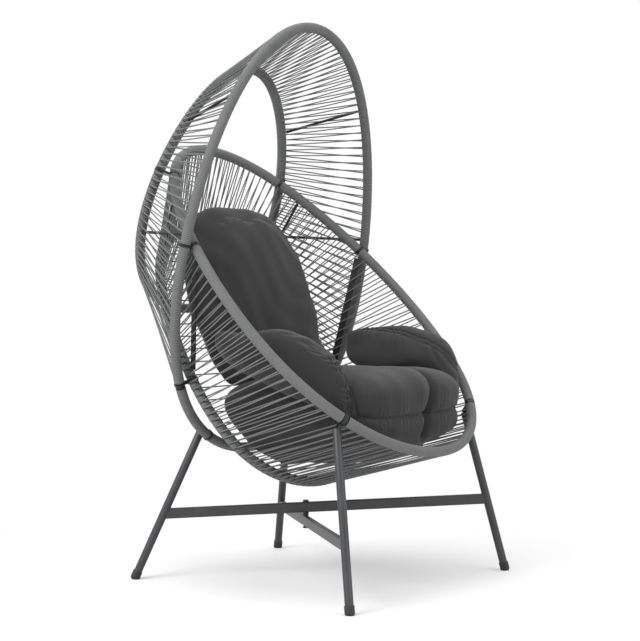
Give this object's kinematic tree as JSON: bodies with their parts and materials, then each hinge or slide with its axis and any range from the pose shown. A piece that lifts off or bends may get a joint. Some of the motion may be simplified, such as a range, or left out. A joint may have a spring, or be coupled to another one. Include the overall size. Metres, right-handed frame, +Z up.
{
  "type": "egg lounge chair",
  "caption": "Egg-shaped outdoor lounge chair: rope-wound hood and seat shells lashed together on splayed legs with crossed bars, with deep cushions.",
  "frame": {"origin": "on the floor, under the middle of the chair's outline", "axes": "+Z is up, the sitter faces -Y and +X is the sitter's left"},
  "size_m": [0.8506, 0.8815, 1.4988],
  "materials": {
    "frame_steel": "grey powder coat",
    "leg_steel": "grey powder coat, satin",
    "black_fitting": "black, satin",
    "black_plastic": "matte black",
    "rope": "grey outdoor rope, wound and stretched",
    "cushion_fabric": "charcoal woven fabric"
  },
  "bodies": {
    "root": {"hood_front_hoop": "frame_steel", "hood_back_hoop": "frame_steel", "seat_ring": "frame_steel", "base_ring": "frame_steel", "hood_rope": "rope", "hood_lower_wrap": "rope", "seat_rope": "rope", "base_hood_lashing_left": "black_fitting", "base_hood_lashing_right": "black_fitting", "seat_hood_lashing_left": "black_fitting", "seat_hood_lashing_right": "black_fitting", "back_hoop_bracket_left": "black_fitting", "back_hoop_bracket_right": "black_fitting", "hood_spoke_upper_left": "black_fitting", "hood_spoke_upper_right": "black_fitting", "hood_spoke_lower_left": "black_fitting", "hood_spoke_lower_right": "black_fitting", "seat_spoke_left": "black_fitting", "seat_spoke_right": "black_fitting", "side_rib_left": "black_fitting", "side_rib_right": "black_fitting", "front_leg_left": "leg_steel", "front_leg_right": "leg_steel", "rear_leg_left": "leg_steel", "rear_leg_right": "leg_steel", "front_leg_collar_left": "black_fitting", "front_leg_collar_right": "black_fitting", "rear_leg_strap_left": "black_fitting", "rear_leg_strap_right": "black_fitting", "foot_cap_front_left": "black_plastic", "foot_cap_front_right": "black_plastic", "foot_cap_rear_left": "black_plastic", "foot_cap_rear_right": "black_plastic", "upper_stretcher": "leg_steel", "lower_stretcher": "leg_steel", "crossing_spacer": "black_fitting", "crossing_bolt": "black_fitting", "crossing_nut": "black_fitting", "seat_cushion": "cushion_fabric", "back_cushion": "cushion_fabric", "wing_cushion_left": "cushion_fabric", "wing_cushion_right": "cushion_fabric"}
  },
  "joints": []
}
